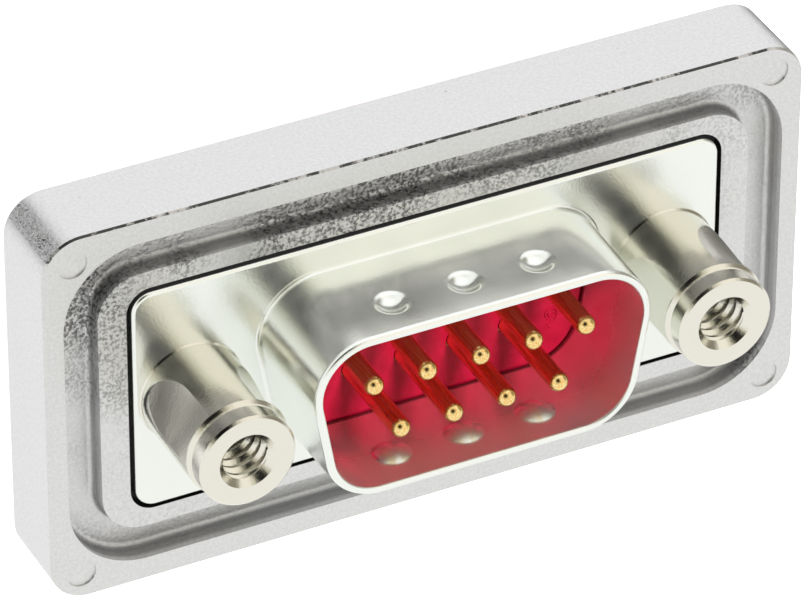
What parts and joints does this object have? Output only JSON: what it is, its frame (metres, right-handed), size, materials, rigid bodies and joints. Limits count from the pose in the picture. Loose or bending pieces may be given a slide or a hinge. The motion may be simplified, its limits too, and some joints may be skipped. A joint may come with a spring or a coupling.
{
  "type": "d-sub connector",
  "caption": "Subminiature-D plug with mating pins in a stamped skirt, held by screwlocks in a die-cast housing with a seal groove.",
  "frame": {"origin": "middle of the connector on the plane of the housing's front rim, which seats against the back of a panel", "axes": "+X along the long side, with contact 5 on that side of the wide row; +Y across the short side towards the wide row; +Z out of the mating face"},
  "size_m": [0.0398, 0.0206, 0.0163],
  "materials": {
    "cast_metal": "fine satin silver coat on die-cast zinc",
    "tin_plate": "bright tin plate on stamped steel",
    "turned_metal": "bright nickel plate on turned brass",
    "plain_fastener": "zinc-plated steel",
    "gold_plate": "polished gold plate",
    "crimson_moulding": "glass-filled moulding, satin gloss",
    "sealing_resin": "cured black resin"
  },
  "bodies": {
    "root": {"die_cast_housing": "cast_metal", "front_shell": "tin_plate", "rear_shell": "tin_plate", "front_insulator": "crimson_moulding", "rear_insulator": "crimson_moulding", "contact_1": "gold_plate", "contact_2": "gold_plate", "contact_3": "gold_plate", "contact_4": "gold_plate", "contact_5": "gold_plate", "contact_6": "gold_plate", "contact_7": "gold_plate", "contact_8": "gold_plate", "contact_9": "gold_plate", "screwlock_left": "turned_metal", "screwlock_right": "turned_metal", "lock_washer_left": "plain_fastener", "lock_washer_right": "plain_fastener", "lock_nut_left": "plain_fastener", "lock_nut_right": "plain_fastener", "potting": "sealing_resin"}
  },
  "joints": []
}
